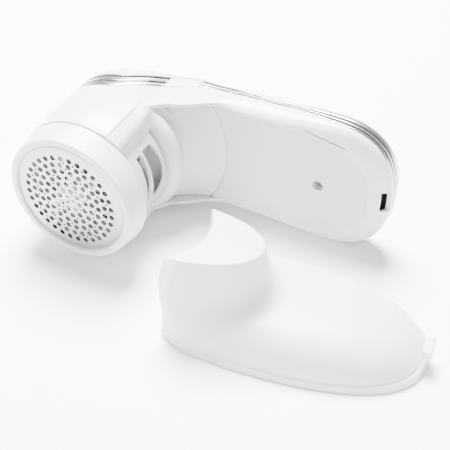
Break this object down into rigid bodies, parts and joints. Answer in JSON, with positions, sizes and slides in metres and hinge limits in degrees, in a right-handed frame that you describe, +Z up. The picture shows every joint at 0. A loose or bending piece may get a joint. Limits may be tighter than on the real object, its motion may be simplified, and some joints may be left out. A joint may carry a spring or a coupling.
{
  "type": "fabric shaver",
  "caption": "Cordless fabric shaver on its side: round foil head with spinning blades, trimmed spoon-shaped handle and a boot-shaped translucent lint bin set down in front.",
  "frame": {"origin": "centre of the bottom of the box round the shaver and its bin, on the table", "axes": "+X along the handle from the cutter head to the charging socket, +Y from the foil to the back shell, +Z up from the table"},
  "size_m": [0.2062, 0.1136, 0.07],
  "materials": {
    "white_shell": "gloss",
    "white_panel": "gloss",
    "white_chamber": "gloss",
    "white_ring": "gloss",
    "white_button": "gloss",
    "silver_trim": "polished",
    "foil_steel": "satin",
    "blade_steel": "ground",
    "hub_plastic": "satin",
    "spring_steel": "drawn wire",
    "spindle_plastic": "satin",
    "shaft_steel": "ground",
    "felt": "felt",
    "motor_steel": "plated",
    "motor_plastic": "moulded",
    "bracket_plastic": "moulded",
    "screw_steel": "plated",
    "cell_wrap": "shrink film",
    "tab_nickel": "nickel strip",
    "board_green": "solder mask",
    "socket_steel": "plated",
    "led_lens": "clear",
    "switch_plastic": "moulded",
    "lead_red": "extruded",
    "lead_black": "extruded",
    "milky_bin": "frosted translucent"
  },
  "bodies": {
    "housing": {"front_shell": "white_shell", "back_shell": "white_shell", "trim_frame": "silver_trim", "handle_panel": "white_panel", "blade_chamber": "white_chamber", "shaft_seal": "felt", "motor_can": "motor_steel", "motor_end_cap": "motor_plastic", "motor_bracket": "bracket_plastic", "motor_screws": "screw_steel", "housing_screws": "screw_steel", "battery": "cell_wrap", "battery_tray": "bracket_plastic", "battery_tabs": "tab_nickel", "circuit_board": "board_green", "usb_socket": "socket_steel", "charge_led": "led_lens", "switch_board": "board_green", "tact_switch": "switch_plastic", "motor_leads": "lead_red", "battery_leads": "lead_black"},
    "rotor": {"blade_hub": "hub_plastic", "blades": "blade_steel", "blade_spring": "spring_steel", "drive_spindle": "spindle_plastic", "motor_shaft": "shaft_steel"},
    "foil_plate": {"foil": "foil_steel"},
    "ring": {"cutter_ring": "white_ring"},
    "button": {"power_button": "white_button"},
    "bin": {"lint_bin": "milky_bin"}
  },
  "joints": [
    {"name": "blade_spin", "type": "hinge", "parent": "housing", "child": "rotor", "pos_m": [-0.06811, -0.01676, 0.035], "axis": [0, 1, 0], "continuous": true},
    {"name": "foil_pull", "type": "slide", "parent": "housing", "child": "foil_plate", "axis": [0, -1, 0], "range_m": [0, 0.025]},
    {"name": "ring_twist", "type": "hinge", "parent": "foil_plate", "child": "ring", "pos_m": [-0.06811, -0.02176, 0.035], "axis": [0, 1, 0], "range_deg": [0, 20]},
    {"name": "button_press", "type": "slide", "parent": "housing", "child": "button", "axis": [-0.0204, 0, -0.9998], "range_m": [0, 0.0008], "stiffness_N_per_m": 600, "springref_m": -0.0005},
    {"name": "bin_lift", "type": "slide", "parent": "housing", "child": "bin", "axis": [0, 0, 1], "range_m": [0, 0.08]}
  ]
}
